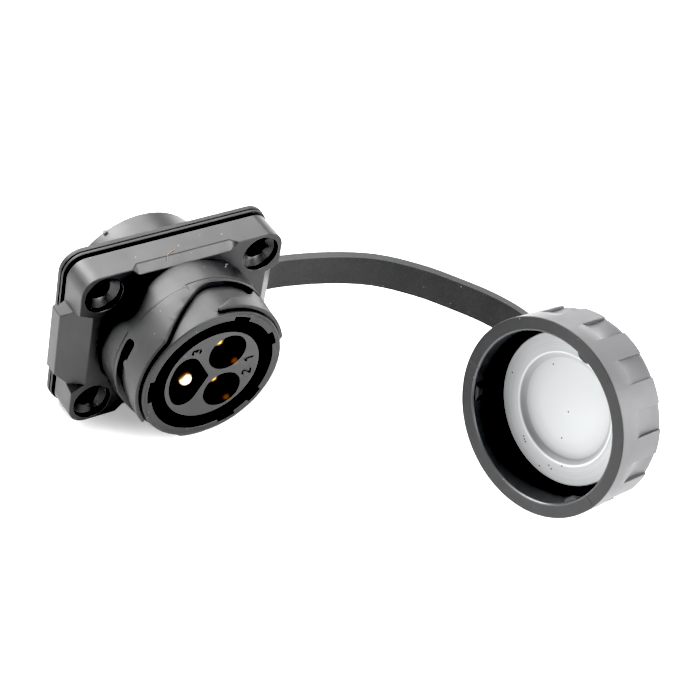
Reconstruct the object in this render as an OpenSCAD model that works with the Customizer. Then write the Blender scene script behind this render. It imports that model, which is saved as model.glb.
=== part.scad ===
// Flange mount power socket with a bayonet barrel, three contacts and a tethered sealing cap.
// Frame: the origin is the centre of the panel face of the gasket, on the connector axis.
// +Z is up, the mating side faces -Y and the strap leaves to +X.
// Every sub-part is drawn along the axis first: x right, y up, z forward from the panel.

/* [Flange] */
// Width of the flange across the front
flange_w = 36; // [34:0.5:40]
// Height of the flange
flange_h = 30; // [29.5:0.5:33]
// Radius of the flange corners
flange_corner_r = 3.2; // [2:0.1:4]
// Thickness of the flange
flange_t = 5.2; // [4.8:0.1:6]
// Spacing of the screw holes across the flange
hole_spacing_x = 28; // [27:0.5:29]
// Spacing of the screw holes up the flange
hole_spacing_z = 22.4; // [21.5:0.1:23]
// Radius of the screw holes
screw_hole_r = 1.7; // [1.5:0.05:1.9]
// Radius of the recess for a screw head
head_recess_r = 3.2; // [2.8:0.1:3.3]
// Depth of the recess for a screw head
head_recess_depth = 0.95; // [0.8:0.05:1.6]
// Fall of the bevelled cuts in the flange sides, in depth for each millimetre outwards
bevel_fall = 0.8; // [0.6:0.05:0.9]
// How far the bevelled pad stands out past the flange on the side away from the strap
pad_out = 1.6; // [1:0.1:2]

/* [Barrel] */
// Distance from the panel to the front rim
rim_z = 19.2; // [18:0.1:21]
// Radius of the floor of the bayonet tracks at their locked end
track_r = 12.65; // [12.4:0.05:12.8]
// Radius of the rim
rim_r = 12.4; // [12.2:0.05:12.5]
// Radius of the barrel behind the tracks
barrel_r = 13.7; // [13.5:0.05:13.8]
// Draft of the front of the barrel, taken off its radius at the front edge
barrel_draft = 0.42; // [0.2:0.02:0.6]
// Radius of the mating cavity
cavity_r = 10.8; // [10.5:0.05:10.9]
// Depth of the mating cavity from the rim
cavity_depth = 10.2; // [9:0.1:11]
// Radius of the keyways in the rim
keyway_r = 11.5; // [11.2:0.05:11.6]
// Distance from the panel to the rear wall of the bayonet tracks
track_z = 12.6; // [12.2:0.1:13]
// Rise of the teeth beside the tracks for each degree of turn
track_lead = 0.104; // [0.09:0.002:0.12]
// Width of the locking pocket at the end of each track
pocket_w = 1.6; // [1.4:0.1:1.8]

/* [Spigot] */
// Radius of the spigot that passes through the panel
spigot_r = 12.25; // [12:0.05:12.4]
// Length of the spigot behind the panel
spigot_len = 7.5; // [6:0.1:8]

/* [Insert and contacts] */
// Radius of the insert
insert_r = 8.5; // [8.3:0.05:8.55]
// Radius of the circle that the contacts stand on
contact_circle_r = 4.5; // [4.4:0.05:4.6]
// Radius of the two round wells
well_r = 3.33; // [3:0.01:3.4]
// Depth of the wells
well_depth = 9.5; // [8:0.1:9.6]
// Radius of a contact pin
pin_r = 1.3; // [1.1:0.05:1.4]
// Distance of the tips of contacts one and two behind the insert face
pin_recess = 2.3; // [2:0.1:4]
// Distance of the tip of the earth contact in front of the insert face
earth_ahead = 0.2; // [0:0.1:1]
// Height of the numbers beside the wells
digit_h = 1.75; // [1.4:0.05:2]

/* [Gasket and strap] */
// Thickness of the gasket at its edge
gasket_edge_t = 1.5; // [1.2:0.1:1.6]
// Thickness of the gasket under the flange
gasket_t = 2; // [1.8:0.1:2.2]
// Width of the strap
strap_w = 5.4; // [4:0.1:6]
// Thickness of the strap
strap_t = 1.4; // [1:0.1:1.5]
// How much wider and thicker the strap is at its root than at the eye
strap_root_grow = 0.35; // [0:0.05:0.35]
// Radius of the eye at the end of the strap
eye_r = 4.2; // [3.6:0.1:5]

/* [Cap] */
// Radius of the cap at its open rim
cap_r = 16.05; // [15.6:0.05:16.4]
// Draft of the cap, taken off its radius at the closed end
cap_draft = 0.2; // [0:0.05:0.3]
// Length of the cap
cap_len = 9.9; // [9.5:0.1:10.5]
// Radius inside the cap
cap_bore_r = 13.75; // [13.7:0.05:14]
// Width of the chamfer at the mouth of the cap
cap_chamfer = 0.25; // [0.1:0.05:0.4]
// Distance from the open rim to the seal
seal_depth = 6; // [5.6:0.1:6.2]
// Radius of the seal disc
seal_r = 12.5; // [12.2:0.1:13]
// Radius of the dished middle of the seal
seal_dish_r = 9.25; // [8:0.05:10]
// Depth of the dish in the seal
seal_dish_depth = 0.85; // [0.5:0.05:1]
// Number of grip pockets round the cap
grip_count = 12; // [8:1:14]
// Depth of the grip pockets
grip_depth = 0.6; // [0.4:0.05:1]
// Radius at the inner ends of the bayonet lugs
lug_tip_r = 13.05; // [12.85:0.05:13.1]

/* [Hidden] */
$fn = 96;
fit_gap = 0.05;
over = 1;

// Flange and barrel stations, measured forward from the panel
flange_back = gasket_t;
flange_front = flange_back + flange_t;
barrel_setback = 0.8;
barrel_front = rim_z - barrel_setback;
draft_start = track_z - 0.7;
cavity_floor = rim_z - cavity_depth;
web_t = 4;
web_back = cavity_floor - web_t;
rim_chamfer_r = 0.4;
rim_chamfer_z = 0.1;
rim_groove_r = rim_r + 0.2;
rim_groove_depth = 0.25;
spigot_bore_r = 10.6;
land_step = 0.4;
land_r = spigot_r + land_step;

// Bevelled cuts of the flange: how far in they start, then half their length there, at the front of the
// side wall and at the back of the bevel
side_cut = [2.4, 7, 8.1, 7.5];
end_cut = [1.4, 8.1, 9.5, 8.3];
pad_root_half = 7.4;
pad_end_half = 6.1;
pad_skirt = 0.7;
pad_skirt_in = 0.9;

// Bayonet tracks: angles for the first track, seen from the front and turning from +x to +y
track_count = 3;
track_end = 31.5;
mouth_edge = 150;
ramp_from = 84;
ramp_to = 146;
ramp_ease = 0.2;
tooth_tip = 91.5;
tooth_blunt = 0.33;
tooth_knee = 78;
tooth_slow = 0.7;
stop_from = 54;
stop_top = 49.5;
stop_to = 46;
stop_gap = 1.1;
pocket_turn = 13.5;
pocket_floor_r = 11.9;
pocket_lap = 0.05;
pocket_round = asin(pocket_w / 2 / barrel_r);
pocket_steps = 6;
track_step = 2.5;
track_inner = track_r - 0.6;
track_outer = barrel_r + 2;

// Keyways: middle and half width, in degrees
keyways = [[180, 11], [69.5, 7.5], [23, 7], [-40, 7], [-69.5, 7.5]];
keyway_stop = 2;

// Insert and contacts
insert_face = rim_z - 0.2;
shoulder_r = 10.5;
insert_back = 1;
contact_angles = [60, -60, 180];
shank_r = 1.6;
well_floor = insert_face - well_depth;
terminal_r = 2.5;
terminal_back = -10;
wire_hole_r = 1.5;
wire_hole_depth = 6;
screw_z = -8.6;
screw_r = 0.95;
screw_len = 2.6;
screw_stand = 0.6;
screw_key_r = 0.45;
screw_key_depth = 1.2;
seal_ring_r = 0.7;
seal_ring_mid_r = 9.45;
contact_ring_r = 0.5;
retainer_t = 3;
retainer_bore_r = 7.3;
retainer_notch_w = 2.2;
retainer_notch_depth = 1.2;

// Earth well: a third of a circle set off from its edges, with round outer corners
earth_outer_r = 7.7;
earth_wall = 0.6;
earth_corner_r = 2.3;
earth_corner_steps = 12;
earth_outer_steps = 16;

// Numbers beside the wells
digit_w = 1.05;
digit_stroke = 0.3;
digit_depth = 0.25;
bow_lap = 0.05;
digit_places = [["1", [6.45, 1.25]], ["2", [6.45, -1.6]], ["3", [-3.55, 5.8]]];

// Gasket
gasket_grow = 0.4;
gasket_step = 0.1;
gasket_groove = 0.22;
gasket_layers = [0.85, 0.95];
bead_inset = 1.4;
gasket_hole_r = 2;

// Strap route along the middle of the strap: right, up, forward
route = [[15, 0, 0.9], [18.5, 0, 0.9], [23, 0.1, 1.2], [31, 0.3, 3.5], [38, 0.6, 7.1], [43.5, 0.9, 12.5],
    [47, 1.2, 17.6], [50.2, 1.7, 23.6], [51.8, 2.5, 30], [51.6, 3.3, 36.5], [50.2, 4, 42.5],
    [49.1, 4.4, 47]];
route_steps = 4;
eye_bore_r = 1.65;

// Cap place: middle of the open rim, and the turns that lay its axis from front to rear
cap_place = [38.4, 6.6, 52.9];
cap_turn = [10.5, 99.4, 0];
cap_floor = seal_depth + 1.4;
rivet_r = 1.6;
rivet_flange_r = 2.8;
rivet_head_r = 3.2;
rivet_head_t = 1;
rivet_room = 0.1;
eye_back = 0.1;
eye_lip = 0.4;
eye_t = strap_t + eye_lip;
eye_start = cap_len + eye_back;
lug_from = 0.45;
lug_to = 1.55;
lug_turn = 12;
lug_first = -26;
lug_root = 0.5;
lug_steps = 12;
grip_turn = 15;
grip_from = 3.7;
grip_deepest = 0.42;
grip_shallow = 0.45;
grip_steps = 8;
cap_edge = 0.2;
seal_edge = 0.2;
seal_dish_wall = 0.9;
seal_dish_edge = 0.1;

// The frame of the whole part: forward becomes -Y and up becomes +Z
module in_frame() {
    rotate([90, 0, 0]) children();
}

// The frame of the cap: z runs from its open rim to its closed end
module at_cap() {
    in_frame() translate(cap_place) rotate(cap_turn) children();
}

function polar(r, a) = [r * cos(a), r * sin(a)];

// Share of a ramp covered at t, level at both ends and straight between
function eased(t, b) =
    t <= 0 ? 0 :
    t >= 1 ? 1 :
    t < b ? t * t / (2 * b * (1 - b)) :
    t > 1 - b ? 1 - (1 - t) * (1 - t) / (2 * b * (1 - b)) :
    (t - b / 2) / (1 - b);

// Rear wall of a track: level along the lock, then a ramp that comes out at the front
function track_rear(a) =
    track_z + (rim_z - track_z) * eased((a - ramp_from) / (ramp_to - ramp_from), ramp_ease);

// Front wall of a track: open at the mouth, then the tooth, the stop that a lug snaps past, and the pocket
function tooth_rear(a) =
    let (tip_z = barrel_front - tooth_blunt, knee_z = tip_z - track_lead * (tooth_tip - tooth_knee),
        foot_z = knee_z - tooth_slow * track_lead * (tooth_knee - stop_from), stop_z = track_z + stop_gap)
    a > tooth_tip ? rim_z + 2 * over :
    a > tooth_knee ? tip_z - track_lead * (tooth_tip - a) :
    a > stop_from ? knee_z - tooth_slow * track_lead * (tooth_knee - a) :
    a > stop_top ? stop_z + (foot_z - stop_z) * (a - stop_top) / (stop_from - stop_top) :
    a > stop_to ? stop_z :
    track_z + pocket_w;

module plate(w, h, r, z0, z1) {
    translate([-w / 2 + r, -h / 2, z0]) cube([w - 2 * r, h, z1 - z0]);
    translate([-w / 2, -h / 2 + r, z0]) cube([w, h - 2 * r, z1 - z0]);
    for (sx = [-1, 1], sy = [-1, 1])
        translate([sx * (w / 2 - r), sy * (h / 2 - r), z0]) cylinder(r = r, h = z1 - z0);
}

module at_screw_holes() {
    for (sx = [-1, 1], sy = [-1, 1])
        translate([sx * hole_spacing_x / 2, sy * hole_spacing_z / 2, 0]) children();
}

// Part of a ring from angle a0 through turn degrees
module ring_part(r0, r1, z0, z1, a0, turn) {
    rotate([0, 0, a0]) rotate_extrude(angle = turn) translate([r0, z0]) square([r1 - r0, z1 - z0]);
}

// Bevelled cut in one side of the flange, drawn for the +x side whose wall stands at x = side
module side_bevel(side, cut) {
    start = side - cut[0];
    ahead = 1.5;
    reach = cut[0] + pad_out + over;
    along_x = (cut[2] - cut[1]) / cut[0];
    along_z = (cut[2] - cut[3]) / (bevel_fall * cut[0]);
    inner = [start - ahead, flange_front + bevel_fall * ahead];
    outer = [start + reach, flange_front - bevel_fall * reach];
    apex = [start + reach, flange_front + bevel_fall * ahead];
    function half(p) = cut[1] + along_x * (p[0] - start) + along_z * (p[1] - flange_front);
    corners = [for (s = [-1, 1], p = [inner, outer, apex]) [p[0], s * half(p), p[1]]];
    polyhedron(corners, [[0, 2, 1], [3, 4, 5], [0, 1, 4, 3], [1, 2, 5, 4], [2, 0, 3, 5]]);
}

// The pad overlaps the edge of the gasket with a short skirt
module side_pad() {
    side = flange_w / 2;
    out = side + pad_out;
    skirt = side + pad_skirt_in;
    skirt_half = pad_end_half + (pad_root_half - pad_end_half) * (out - skirt) / pad_out;
    translate([0, 0, flange_back]) linear_extrude(flange_t)
        polygon([[over - side, -pad_root_half], [-side, -pad_root_half], [-out, -pad_end_half],
            [-out, pad_end_half], [-side, pad_root_half], [over - side, pad_root_half]]);
    translate([0, 0, flange_back - pad_skirt]) linear_extrude(pad_skirt + over)
        polygon([[-skirt, -skirt_half], [-out, -pad_end_half], [-out, pad_end_half], [-skirt, skirt_half]]);
}

module flange() {
    difference() {
        union() {
            plate(flange_w, flange_h, flange_corner_r, flange_back, flange_front);
            side_pad();
        }
        for (turn = [0, 180]) rotate([0, 0, turn]) side_bevel(flange_w / 2, side_cut);
        for (turn = [90, 270]) rotate([0, 0, turn]) side_bevel(flange_h / 2, end_cut);
    }
}

// Closed band of quads from radius r0 to r1; each of its stations is an angle and the heights of two walls
module band(stations, r0, r1) {
    points = [for (s = stations, c = [[r0, s[1]], [r1, s[1]], [r1, s[2]], [r0, s[2]]])
        [c[0] * cos(s[0]), c[0] * sin(s[0]), c[1]]];
    last = 4 * (len(stations) - 1);
    sides = [for (i = [0:4:last - 4], k = [0:3]) [i + k, i + (k + 1) % 4, i + 4 + (k + 1) % 4, i + 4 + k]];
    polyhedron(points, concat(sides, [[3, 2, 1, 0], [last, last + 1, last + 2, last + 3]]));
}

// Cutter for one bayonet track
module track_cutter() {
    start = track_end + pocket_round;
    steps = ceil((mouth_edge - start) / track_step);
    band([for (i = [0:steps])
        let (a = start + (mouth_edge - start) * i / steps)
        [a, track_rear(a), max(tooth_rear(a), track_rear(a) + fit_gap)]], track_inner, track_outer);
}

// Cutter for the locking pocket of a track, with a round end
module pocket_cutter() {
    mid = track_z + pocket_w / 2;
    half = pocket_w / 2 + pocket_lap;
    straight = pocket_turn - pocket_round;
    round_end = [for (i = [1:pocket_steps])
        let (p = 90 * i / pocket_steps)
        [track_end + pocket_round * (1 - cos(p)), mid - half * sin(p), mid + half * sin(p)]];
    rest = [for (i = [1:pocket_steps])
        [track_end + pocket_round + straight * i / pocket_steps, mid - half, mid + half]];
    band(concat(round_end, rest), pocket_floor_r, track_outer + over);
}

module barrel() {
    difference() {
        union() {
            translate([0, 0, flange_back]) cylinder(r = barrel_r, h = draft_start - flange_back);
            translate([0, 0, draft_start])
                cylinder(r1 = barrel_r, r2 = barrel_r - barrel_draft, h = barrel_front - draft_start);
        }
        for (i = [0:track_count - 1]) rotate([0, 0, i * 360 / track_count]) track_cutter();
        ring_part(rim_r - over, rim_groove_r, barrel_front - rim_groove_depth, barrel_front + over, 0, 360);
    }
    rotate_extrude() polygon([[0, flange_back], [track_r, flange_back], [track_r, track_z],
        [rim_r, rim_z - rim_chamfer_z], [rim_r - rim_chamfer_r, rim_z], [0, rim_z]]);
}

module housing() {
    color("#3b3b3d") in_frame() difference() {
        union() {
            flange();
            barrel();
            translate([0, 0, -spigot_len]) cylinder(r = spigot_r, h = spigot_len + over);
            cylinder(r = land_r, h = flange_back + over);
        }
        translate([0, 0, cavity_floor]) cylinder(r = cavity_r, h = cavity_depth + over);
        for (k = keyways)
            ring_part(cavity_r - over, keyway_r, cavity_floor + keyway_stop, rim_z + over,
                k[0] - k[1], 2 * k[1]);
        for (i = [0:track_count - 1]) rotate([0, 0, i * 360 / track_count]) pocket_cutter();
        translate([0, 0, -over]) cylinder(r = insert_r + fit_gap, h = rim_z);
        translate([0, 0, -spigot_len - over]) cylinder(r = spigot_bore_r, h = spigot_len + over + web_back);
        at_screw_holes() screw_hole();
    }
}

// Through hole with a cone seat under a round recess for the screw head
module screw_hole() {
    cone_h = head_recess_r - screw_hole_r;
    seat = flange_front - head_recess_depth;
    translate([0, 0, flange_back - over]) cylinder(r = screw_hole_r, h = flange_t + 2 * over);
    translate([0, 0, seat]) cylinder(r = head_recess_r, h = head_recess_depth + over);
    translate([0, 0, seat - cone_h / 2]) cylinder(r1 = screw_hole_r, r2 = head_recess_r, h = cone_h / 2);
}

module at_contact(i) {
    translate([each polar(contact_circle_r, contact_angles[i]), 0]) children();
}

// Points on part of a circle about c, from angle a0 to a1
function arc(c, r, a0, a1, n) = [for (i = [0:n]) c + polar(r, a0 + (a1 - a0) * i / n)];

module earth_well() {
    edge_turn = 30;
    mid_r = earth_outer_r - earth_corner_r;
    off = earth_wall + earth_corner_r;
    corner = sqrt(mid_r * mid_r - off * off) * [-cos(60), sin(60)] - off * [cos(edge_turn), sin(edge_turn)];
    turn = atan2(corner[1], corner[0]);
    upper = arc(corner, earth_corner_r, edge_turn, turn, earth_corner_steps);
    lower = [for (i = [earth_corner_steps:-1:0]) [upper[i][0], -upper[i][1]]];
    outer = arc([0, 0], earth_outer_r, turn, 360 - turn, earth_outer_steps);
    apex = [-earth_wall / cos(edge_turn), 0];
    outline = [apex, each upper, for (i = [1:earth_outer_steps - 1]) outer[i], each lower];
    translate([0, 0, well_floor]) linear_extrude(well_depth + over) polygon(outline);
}

// Strokes of the numbers, in a box of width 1 and height 1 about its middle
module stroke(p, q) {
    d = (q - p);
    translate([p[0], p[1], 0]) rotate([0, 0, atan2(d[1], d[0])])
        translate([-digit_stroke / 2, -digit_stroke / 2, 0])
        cube([norm(d) + digit_stroke, digit_stroke, digit_depth + over]);
}

module bow(r, from, turn) {
    ring_part(r - digit_stroke / 2, r + digit_stroke / 2, 0, digit_depth + over, from, turn);
}

module digit(name) {
    half_h = (digit_h - digit_stroke) / 2;
    half_w = (digit_w - digit_stroke) / 2;
    if (name == "1") {
        stroke([half_w / 3, -half_h], [half_w / 3, half_h]);
        stroke([half_w / 3, half_h], [-half_w, half_h - half_w]);
    }
    if (name == "2") {
        translate([0, half_h - half_w, 0]) bow(half_w, -30, 200);
        stroke(polar(half_w, -30) + [0, half_h - half_w], [-half_w, -half_h]);
        stroke([-half_w, -half_h], [half_w, -half_h]);
    }
    if (name == "3") {
        bow_r = half_h / 2 + bow_lap;
        for (side = [-1, 1])
            translate([0, side * (half_h - bow_r), 0]) bow(bow_r, side == 1 ? -80 : -150, 230);
    }
}

module contact_insert() {
    color("#47474a") in_frame() difference() {
        union() {
            translate([0, 0, insert_back]) cylinder(r = insert_r, h = insert_face - insert_back);
            translate([0, 0, insert_back]) cylinder(r = shoulder_r, h = web_back - insert_back);
        }
        for (i = [0, 1]) at_contact(i)
            translate([0, 0, well_floor]) cylinder(r = well_r, h = well_depth + over);
        earth_well();
        for (i = [0:2]) at_contact(i) {
            translate([0, 0, insert_back - over]) cylinder(r = shank_r + fit_gap, h = well_floor);
            translate([0, 0, insert_back - over])
                cylinder(r = shank_r + 2 * contact_ring_r, h = over + 2 * contact_ring_r);
        }
        ring_part(seal_ring_mid_r - seal_ring_r, seal_ring_mid_r + seal_ring_r, web_back - 2 * seal_ring_r,
            web_back + over, 0, 360);
        for (d = digit_places)
            translate([d[1][0], d[1][1], insert_face - digit_depth]) rotate([0, 0, 90]) digit(d[0]);
    }
}

// Turned contact: domed pin, shank in the insert, and a bored terminal with a cross hole for its screw
module contact(i, recess) {
    tip = insert_face - recess;
    color("#d9a441") in_frame() at_contact(i) difference() {
        union() {
            cylinder(r = pin_r, h = tip - pin_r);
            translate([0, 0, tip - pin_r]) sphere(r = pin_r);
            cylinder(r = shank_r, h = well_floor);
            translate([0, 0, terminal_back]) cylinder(r = terminal_r, h = insert_back - terminal_back);
        }
        translate([0, 0, terminal_back - over]) cylinder(r = wire_hole_r, h = wire_hole_depth + over);
        translate([0, 0, screw_z]) rotate([0, 90, contact_angles[i]])
            cylinder(r = screw_r + fit_gap / 2, h = terminal_r + over);
    }
}

module contact_1() {
    contact(0, pin_recess);
}

module contact_2() {
    contact(1, pin_recess);
}

module contact_3() {
    contact(2, -earth_ahead);
}

module terminal_screws() {
    end = terminal_r + screw_stand;
    color("silver") in_frame() for (i = [0:2]) at_contact(i)
        translate([0, 0, screw_z]) rotate([0, 90, contact_angles[i]]) difference() {
            translate([0, 0, end - screw_len]) cylinder(r = screw_r, h = screw_len);
            translate([0, 0, end - screw_key_depth])
                cylinder(r = screw_key_r, h = screw_key_depth + over, $fn = 6);
        }
}

module ring(mid_r, r, z) {
    translate([0, 0, z]) rotate_extrude() translate([mid_r, 0]) circle(r = r, $fn = 32);
}

module insert_seal() {
    color("#202022") in_frame() ring(seal_ring_mid_r, seal_ring_r, web_back - seal_ring_r);
}

module contact_seals() {
    color("#202022") in_frame() for (i = [0:2]) at_contact(i)
        ring(shank_r + contact_ring_r, contact_ring_r, insert_back + contact_ring_r);
}

// Threaded ring that holds the insert, with four notches for a spanner
module insert_retainer() {
    color("#333335") in_frame() difference() {
        translate([0, 0, insert_back - retainer_t]) cylinder(r = spigot_bore_r - fit_gap, h = retainer_t);
        translate([0, 0, insert_back - retainer_t - over])
            cylinder(r = retainer_bore_r, h = retainer_t + 2 * over);
        for (turn = [0, 90])
            rotate([0, 0, turn])
                translate([-spigot_r, -retainer_notch_w / 2, insert_back - retainer_t - over])
                cube([2 * spigot_r, retainer_notch_w, retainer_notch_depth + over]);
    }
}

// Point on a smooth curve through four route points, at share t between the middle two
function curve(p, t) = 0.5 * (2 * p[1] + t * (p[2] - p[0]) + t * t * (2 * p[0] - 5 * p[1] + 4 * p[2] - p[3])
    + t * t * t * (3 * p[1] - p[0] - 3 * p[2] + p[3]));

function unit(v) = v / norm(v);
function cap_axis() =
    [cos(cap_turn[0]) * sin(cap_turn[1]), -sin(cap_turn[0]), cos(cap_turn[0]) * cos(cap_turn[1])];
function cap_up() =
    [sin(cap_turn[0]) * sin(cap_turn[1]), cos(cap_turn[0]), sin(cap_turn[0]) * cos(cap_turn[1])];
function cap_across() = [-cos(cap_turn[1]), 0, sin(cap_turn[1])];

// The strap runs along the route to the eye, standing on edge and leaning over to the tilt of the cap
module strap() {
    eye = cap_place + cap_axis() * (eye_start + eye_t / 2);
    last = [each route, eye];
    spans = len(last) - 1;
    knots = [2 * last[0] - last[1], each last, eye + 4 * cap_across()];
    line = [for (s = [0:spans - 1], k = [0:route_steps - 1])
        curve([for (j = [0:3]) knots[s + j]], k / route_steps), eye];
    count = len(line);
    heads = [for (i = [0:count - 1])
        i == count - 1 ? cap_across() : unit(line[i + 1] - line[max(i - 1, 0)])];
    corners = [[-1, -1], [1, -1], [1, 1], [-1, 1]];
    points = [for (i = [0:count - 1])
        let (lean = i / (count - 1), up = unit([0, 1, 0] * (1 - lean) + cap_up() * lean))
        let (side = unit(cross(up, heads[i])), top = cross(heads[i], side))
        let (grow = strap_root_grow * (1 - lean), t = strap_t + grow, w = strap_w + grow)
        for (c = corners) line[i] + side * c[0] * t / 2 + top * c[1] * w / 2];
    sides = [for (i = [0:count - 2], k = [0:3])
        [4 * (i + 1) + k, 4 * (i + 1) + (k + 1) % 4, 4 * i + (k + 1) % 4, 4 * i + k]];
    end = 4 * (count - 1);
    polyhedron(points, concat(sides, [[0, 1, 2, 3], [end + 3, end + 2, end + 1, end]]));
}

// Gasket and strap are one moulding: the strap is a long tongue of the gasket that ends in an eye
module gasket_tether() {
    groove = gasket_grow - gasket_groove;
    upper = gasket_grow - gasket_step;
    w = flange_w;
    h = flange_h;
    r = flange_corner_r;
    color("#262628") difference() {
        union() {
            in_frame() {
                plate(w + 2 * gasket_grow, h + 2 * gasket_grow, r + gasket_grow, 0, gasket_layers[0]);
                plate(w + 2 * groove, h + 2 * groove, r + groove, 0, gasket_edge_t);
                plate(w + 2 * upper, h + 2 * upper, r + upper, gasket_layers[1], gasket_edge_t);
                plate(w - 2 * bead_inset, h - 2 * bead_inset, r - bead_inset, 0, gasket_t);
                strap();
            }
            at_cap() translate([0, 0, eye_start]) cylinder(r = eye_r, h = eye_t);
        }
        in_frame() {
            translate([0, 0, -over]) cylinder(r = land_r + fit_gap, h = gasket_t + 2 * over);
            at_screw_holes() translate([0, 0, -over]) cylinder(r = gasket_hole_r, h = gasket_t + 2 * over);
        }
        at_cap() {
            translate([0, 0, eye_start - over]) cylinder(r = eye_bore_r, h = eye_t + 2 * over);
            translate([0, 0, eye_start + eye_t]) cylinder(r = rivet_head_r + 2 * rivet_room, h = 2 * over);
        }
    }
}

// Rivet through the strap's eye; the cap turns on it
module swivel_rivet() {
    eye_end = eye_start + eye_t;
    color("#6f7174") at_cap() {
        translate([0, 0, cap_floor + rivet_room])
            cylinder(r = rivet_flange_r, h = rivet_head_t - rivet_room);
        translate([0, 0, cap_floor + rivet_room]) cylinder(r = rivet_r, h = eye_end - cap_floor);
        translate([0, 0, eye_end])
            cylinder(r1 = rivet_head_r, r2 = rivet_head_r - rivet_head_t / 2, h = rivet_head_t);
    }
}

// Depth of a grip pocket at share t of its length, as a part of its full depth
function scoop(t) =
    t < grip_deepest ? 1 - pow((grip_deepest - t) / grip_deepest, 2) :
    1 - grip_shallow * pow((t - grip_deepest) / (1 - grip_deepest), 2);

module grip_pocket() {
    out_r = cap_r + 2 * over;
    floor_line = [for (i = [grip_steps:-1:0])
        let (t = i / grip_steps, z = grip_from + t * (cap_len - grip_from))
        [cap_r - cap_draft * z / cap_len - grip_depth * scoop(t), z]];
    end_r = floor_line[0][0];
    rotate_extrude(angle = grip_turn)
        polygon([[out_r, grip_from], [out_r, cap_len + over], [end_r, cap_len + over], each floor_line]);
}

// Bayonet lug inside the rim of the cap, with a round back
module lug() {
    rise = cap_bore_r - lug_tip_r;
    back = [for (i = [0:lug_steps])
        let (t = 2 * i / lug_steps - 1)
        polar(lug_tip_r + rise * pow(abs(t), 3), lug_turn * (t + 1) / 2)];
    translate([0, 0, lug_from]) linear_extrude(lug_to - lug_from)
        polygon([each back, each arc([0, 0], cap_bore_r + lug_root, lug_turn, 0, lug_steps)]);
}

module cap_shell() {
    color("#49494c") at_cap() {
        difference() {
            rotate_extrude() polygon([[0, 0], [cap_r, 0], [cap_r - cap_draft, cap_len - cap_edge],
                [cap_r - cap_draft - cap_edge, cap_len], [0, cap_len]]);
            rotate_extrude() polygon([[0, -over], [cap_bore_r + cap_chamfer + over, -over],
                [cap_bore_r, cap_chamfer], [cap_bore_r, cap_floor], [0, cap_floor]]);
            translate([0, 0, cap_floor - over])
                cylinder(r = rivet_flange_r + 2 * rivet_room, h = over + rivet_head_t + rivet_room);
            cylinder(r = rivet_r + rivet_room, h = cap_len + over);
            for (i = [0:grip_count - 1])
                rotate([0, 0, i * 360 / grip_count - grip_turn / 2]) grip_pocket();
        }
        for (i = [0:track_count - 1]) rotate([0, 0, lug_first + i * 360 / track_count]) lug();
    }
}

// Dished disc of soft rubber that lies on the closed end inside the cap
module cap_seal() {
    floor_z = seal_depth + seal_dish_depth;
    floor_r = seal_dish_r - seal_dish_wall;
    color("#d3d5d6") at_cap() rotate_extrude()
        polygon([[0, cap_floor], [seal_r, cap_floor], [seal_r, seal_depth + seal_edge],
            [seal_r - seal_edge, seal_depth], [seal_dish_r, seal_depth],
            [seal_dish_r - seal_dish_wall / 2, floor_z - seal_dish_edge], [floor_r, floor_z],
            [0, floor_z]]);
}

housing();
contact_insert();
contact_1();
contact_2();
contact_3();
terminal_screws();
insert_seal();
contact_seals();
insert_retainer();
gasket_tether();
swivel_rivet();
cap_shell();
cap_seal();
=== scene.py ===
"""Finish and studio for a flange mount power socket, laid out as an add-on.

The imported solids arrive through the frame, in metres: +Z is up, the mating side faces -Y and the strap
leaves to +X. Mouldings are copies of their solids with rounded edges. The pale seal, the nub on the spigot,
a fibre and a flake are modelled here. Places, radii and distances in the finishes are in millimetres.
"""
import math

import bmesh
import bpy
from bpy.props import FloatProperty, FloatVectorProperty, PointerProperty
from mathutils import Euler, Matrix, Vector


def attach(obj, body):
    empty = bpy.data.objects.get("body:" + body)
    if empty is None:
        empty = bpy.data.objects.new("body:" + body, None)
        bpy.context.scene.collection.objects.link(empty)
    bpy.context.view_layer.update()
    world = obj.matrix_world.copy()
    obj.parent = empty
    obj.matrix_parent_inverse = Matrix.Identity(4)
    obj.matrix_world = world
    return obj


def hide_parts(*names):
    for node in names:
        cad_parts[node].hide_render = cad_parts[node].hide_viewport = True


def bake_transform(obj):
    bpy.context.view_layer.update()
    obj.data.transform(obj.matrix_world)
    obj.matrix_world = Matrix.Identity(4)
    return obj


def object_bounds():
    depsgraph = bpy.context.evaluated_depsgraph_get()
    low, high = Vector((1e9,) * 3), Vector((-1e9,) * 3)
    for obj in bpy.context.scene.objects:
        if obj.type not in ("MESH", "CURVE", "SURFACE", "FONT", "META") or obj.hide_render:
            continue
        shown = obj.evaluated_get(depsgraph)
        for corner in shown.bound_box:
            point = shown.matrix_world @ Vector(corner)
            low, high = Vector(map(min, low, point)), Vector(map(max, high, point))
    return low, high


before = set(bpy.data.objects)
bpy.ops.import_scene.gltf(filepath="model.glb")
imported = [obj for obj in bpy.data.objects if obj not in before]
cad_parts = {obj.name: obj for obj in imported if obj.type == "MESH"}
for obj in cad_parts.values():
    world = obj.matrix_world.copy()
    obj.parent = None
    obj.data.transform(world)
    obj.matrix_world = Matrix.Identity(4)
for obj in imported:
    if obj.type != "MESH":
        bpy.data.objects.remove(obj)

bl_info = {
    "name": "Flange Mount Socket",
    "version": (1, 0, 0),
    "blender": (4, 5, 0),
    "location": "3D View > Sidebar > Socket",
    "description": "Rounded mouldings, finishes and a studio for a flange mount power socket",
    "category": "Object",
}

MM = 0.001
CAD_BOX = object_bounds()
BLACK = (0, 0, 0, 1)
WHITE = (1, 1, 1, 1)

# Copy of a solid: merge distance, turn between faces that still counts as flat, turn that counts as an edge,
# and how much more the normals of large faces weigh
MERGE = 0.002 * MM
FLAT = math.radians(0.4)
SHARP = math.radians(32)
WEIGHT = 80

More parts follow.
